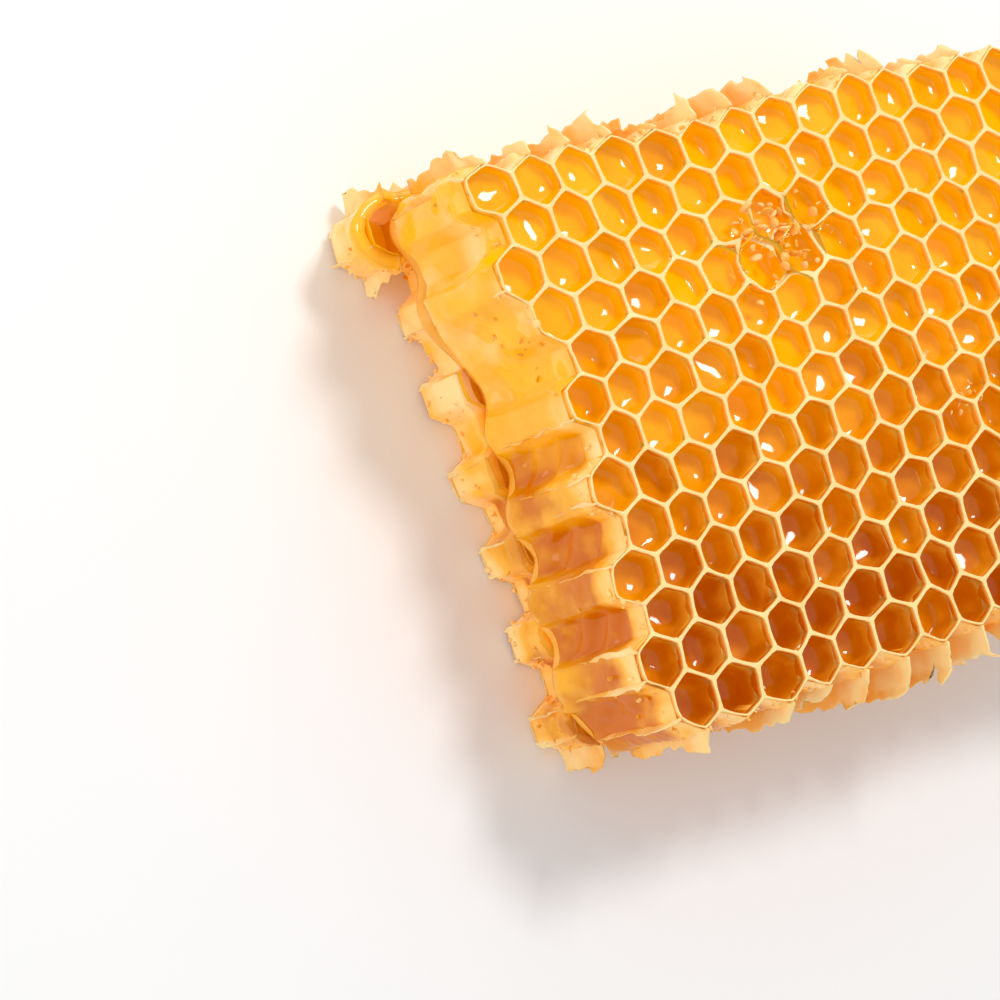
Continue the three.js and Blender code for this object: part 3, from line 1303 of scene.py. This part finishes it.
@dataclass
class Crumbs:
    """Crumbs and flakes of wax that cling where the comb was torn, cut or crushed."""

    front: CutSides
    back: CutSides
    book: CellBook
    seed: int = 40

    def along(self, sides: CutSides, count: int, share: np.ndarray, deep: tuple[float, float]) -> np.ndarray:
        """Places along a layer's torn edge.

        Args:
            sides: The layer's sides.
            count: How many.
            share: For each point of the sides' ring, how likely a crumb is there.
            deep: The least and the greatest depth under the mouths.

        Returns:
            Rows of x, y and z.
        """
        at = self.draw.choice(len(share), count, p=share / share.sum())
        depth = self.draw.uniform(*deep, count)
        level = np.abs(sides.depth[:, 0] - depth[:, None]).argmin(axis=1)
        out = sides.height()[level, at] + self.draw.uniform(-0.1, 0.35, count)
        flat = sides.ring.crisp[at] + sides.ring.normal[at] * out[:, None]
        return np.column_stack([flat, sides.layer.mouth - sides.layer.opens * depth])

    def spot(self, middle: tuple[float, float], size: tuple[float, float], count: int) -> np.ndarray:
        """Places on the open face round a flaw, as rows of x, y and z."""
        flat = np.array(middle) + self.draw.normal(0, 0.45, (count, 2)) * np.array(size)
        return np.column_stack([flat, self.front.layer.mouth - self.draw.uniform(0.3, 1.4, count)])

    def make(self) -> bpy.types.Object:
        """Scatters the crumbs.

        Returns:
            All of them as one piece.
        """
        self.draw = np.random.default_rng(self.seed)
        kinds = []  # of each kind its places, its size in millimetres and how soaked it is
        for sides in (self.front, self.back):
            normal = sides.ring.normal
            up, down = np.clip(normal[:, 1], 0, 1), np.clip(-normal[:, 1], 0, 1)
            left = np.clip(-normal[:, 0], 0, 1)
            corner = down * left
            edges = 0.15 + up**2 + 1.3 * down**2 + 0.4 * left
            kinds.append((self.along(sides, 260, edges, (0.6, 3.0)), 0.9, 0.25))
            kinds.append((self.along(sides, 120, 0.3 + corner * 6 + down, (2.0, 8.0)), 0.7, 0.6))
        kinds.append((self.spot(self.book.crushed_at, self.book.crushed_size, 34), 1.7, 0.42))
        kinds.append((self.spot(self.book.crushed_at, self.book.crushed_size, 40), 0.9, 0.3))
        kinds.append((self.spot((18.0, -7.3), (3.0, 2.0), 14), 0.9, 0.3))
        points = np.vstack([places for places, _, _ in kinds])
        size = np.concatenate([np.full(len(places), size) for places, size, _ in kinds])
        soak = np.concatenate([np.full(len(places), soak) for places, _, soak in kinds])
        size *= self.draw.uniform(0.35, 1.15, len(points))
        seed_mesh = bpy.data.meshes.new("crumb-places")
        seed_mesh.from_pydata((points * MM).tolist(), [], [])
        give_attribute(seed_mesh, "size", size)
        give_attribute(seed_mesh, "soak", np.clip(soak + self.draw.normal(0, 0.12, len(points)), 0, 1))
        give_attribute(seed_mesh, "amber_and_shade", self.draw.uniform(0, 0.6, len(points)))
        return grown("wax-crumbs", seed_mesh, self.tree(), {"Crumb": 1.0 * MM})

    @staticmethod
    def tree() -> bpy.types.NodeTree:
        """A flattened ball on each place, turned at random and crumpled.

        Returns:
            The Geometry Nodes tree.
        """
        maker, given = geometry_tree(
            "wax crumbs",
            {"Crumb": ("NodeSocketFloat", 1.0 * MM), "Crumple": ("NodeSocketFloat", 0.75 * MM)},
        )
        ball = maker.node("GeometryNodeMeshIcoSphere", {"Radius": 0.5, "Subdivisions": 2})
        size = maker.node("GeometryNodeInputNamedAttribute", {"Name": "size"}, data_type="FLOAT").outputs[0]
        across = maker.maths("MULTIPLY", size, given.outputs["Crumb"])
        flat = maker.scaled((1.0, 0.8, 0.32), across)
        turn = maker.node("FunctionNodeRandomValue", {"Seed": 5}, data_type="FLOAT_VECTOR")
        turn.inputs[1].default_value = (2 * math.pi,) * 3
        crumbs = maker.node(
            "GeometryNodeInstanceOnPoints",
            {
                "Points": given.outputs["Geometry"],
                "Instance": ball.outputs["Mesh"],
                "Rotation": turn,
                "Scale": flat,
            },
        )
        real = maker.node("GeometryNodeRealizeInstances", {"Geometry": crumbs})
        place = maker.node("GeometryNodeInputPosition")
        noise = maker.node("ShaderNodeTexNoise", {"Vector": place, "Scale": 1100.0, "Detail": 2.0})
        shake = maker.vector("SUBTRACT", noise.outputs["Color"], (0.5, 0.5, 0.5))
        moved = maker.scaled(shake, given.outputs["Crumple"])
        crumpled = maker.node("GeometryNodeSetPosition", {"Geometry": real, "Offset": moved})
        return close_tree(maker, crumpled, COMB.material())


# ---------------------------------------------------------------- the stage


@dataclass(frozen=True)
class Viewpoint:
    """The camera: it looks down at the open cells and across them, rolled to one side."""

    aim: tuple[float, float, float] = (-44.4, -3.4, 27.0)
    azimuth: float = 3.6  # of the line of sight, from +X towards +Y
    elevation: float = 59.8
    roll: float = 69.3
    distance: float = 301.5
    lens: float = 108.0

    def make(self) -> None:
        """Creates the camera and makes it the scene's."""
        across, down = math.radians(self.azimuth), math.radians(self.elevation)
        ahead = math.cos(down)
        forward = Vector((math.cos(across) * ahead, math.sin(across) * ahead, -math.sin(down)))
        level = forward.cross(Vector((0, 0, 1))).normalized()
        upright = level.cross(forward)
        turn = math.radians(self.roll)
        right = level * math.cos(turn) + upright * math.sin(turn)
        up = right.cross(forward)
        data = bpy.data.cameras.new("camera")
        data.lens = self.lens
        data.sensor_width = 36.0
        data.clip_start, data.clip_end = 0.01, 10.0
        camera = bpy.data.objects.new("camera", data)
        bpy.context.scene.collection.objects.link(camera)
        place = (Vector(self.aim) - forward * self.distance) * MM
        camera.matrix_world = Matrix.Translation(place) @ Matrix((right, up, -forward)).transposed().to_4x4()
        bpy.context.scene.camera = camera


@dataclass(frozen=True)
class Lamp:
    """A soft box that shines at the comb."""

    name: str
    direction: tuple[float, float, float]  # from the comb towards the lamp
    distance: float
    size: float
    power: float
    colour: tuple[float, float, float] = (1.0, 1.0, 1.0)

    def make(self) -> None:
        """Creates the lamp."""
        data = bpy.data.lights.new(self.name, "AREA")
        data.shape = "SQUARE"
        data.size = self.size
        data.energy = self.power
        data.color = self.colour
        lamp = bpy.data.objects.new(self.name, data)
        bpy.context.scene.collection.objects.link(lamp)
        away = Vector(self.direction).normalized()
        lamp.location = away * self.distance
        lamp.rotation_mode = "QUATERNION"
        lamp.rotation_quaternion = (-away).to_track_quat("-Z", "Y")


def make_stage() -> None:
    """Creates the floor, the lamps, the sky and the camera."""
    half = 3.0  # of the floor's side, in metres
    corners = [(-half, -half, 0), (half, -half, 0), (half, half, 0), (-half, half, 0)]
    mesh = mesh_from("floor", np.array(corners) / MM, [(0, 1, 2, 3)])
    floor = fresh_object("floor", mesh)
    white = bpy.data.materials.new("pale floor")
    white.use_nodes = True
    white.node_tree.nodes["Principled BSDF"].inputs["Base Color"].default_value = (0.93, 0.93, 0.93, 1)
    white.node_tree.nodes["Principled BSDF"].inputs["Roughness"].default_value = 0.6
    floor.data.materials.append(white)
    Lamp("key", (0.26, 0.42, 0.86), 0.9, 0.18, 3.1).make()
    Lamp("fill", (-0.93, 0.06, 0.34), 0.9, 0.5, 1.8).make()
    Lamp("back", (0.3, 0.9, 0.3), 0.9, 0.5, 1.5).make()
    world = bpy.data.worlds.new("sky")
    world.use_nodes = True
    world.node_tree.nodes["Background"].inputs["Color"].default_value = (1, 1, 1, 1)
    world.node_tree.nodes["Background"].inputs["Strength"].default_value = 0.62
    bpy.context.scene.world = world
    bpy.context.scene.view_settings.view_transform = "Standard"
    Viewpoint().make()


# ---------------------------------------------------------------- building


def lattice_offset(back: Layer) -> np.ndarray:
    """From the lattice's own origin to the frame's, found from the lower cells' box.

    Args:
        back: The lower layer, whose outline has no fins.

    Returns:
        The offset's x and y in millimetres.
    """
    low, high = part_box("back_cells")
    points, faces = LATTICE.cells(back)
    ring = points[LATTICE.outline(faces)]
    middle = (ring.min(axis=0) + ring.max(axis=0)) / 2
    return np.array([(low[0] + high[0]) / 2, (low[1] + high[1]) / 2]) / MM - middle


def main() -> None:
    """Builds the comb from its layers outwards."""
    logging.basicConfig(level=logging.INFO, format="%(name)s: %(message)s")
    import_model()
    make_stage()
    front_box, back_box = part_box("front_cells"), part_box("back_cells")
    back = Layer(
        "back", -0.5, 1 / (2 * math.sqrt(3)), 2.1, -6.4, 0.0,
        back_box[1][2] / MM, back_box[0][2] / MM, ((LATTICE.rows - 1, -1),),
    )
    front = Layer("front", 0.0, 0.0, 0.0, -6.6, -0.07, front_box[0][2] / MM, front_box[1][2] / MM)
    offset = lattice_offset(back)
    book = CellBook()
    front_sides, back_sides = CutSides(front, offset, 11), CutSides(back, offset, 21, paleness=0.25)
    made = {
        "front_cells": [
            *CombLayer(front, offset, book).make(),
            front_sides.make(),
            TornWalls(front_sides, 12).make(),
            Crumbs(front_sides, back_sides, book).make(),
        ],
        "midrib": [Midrib(front, offset, back.root, front.root).make()],
        "back_cells": [
            *CombLayer(back, offset, CellBook(seed=8, low_drop=1.8)).make(),
            back_sides.make(),
            TornWalls(back_sides, 22).make(),
        ],
    }
    for node, pieces in made.items():
        for piece in pieces:
            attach(piece, "root")
            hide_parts(node)
            LOG.info("%s: %d faces", piece.name, len(piece.data.polygons))


if __name__ == "__main__":
    main()
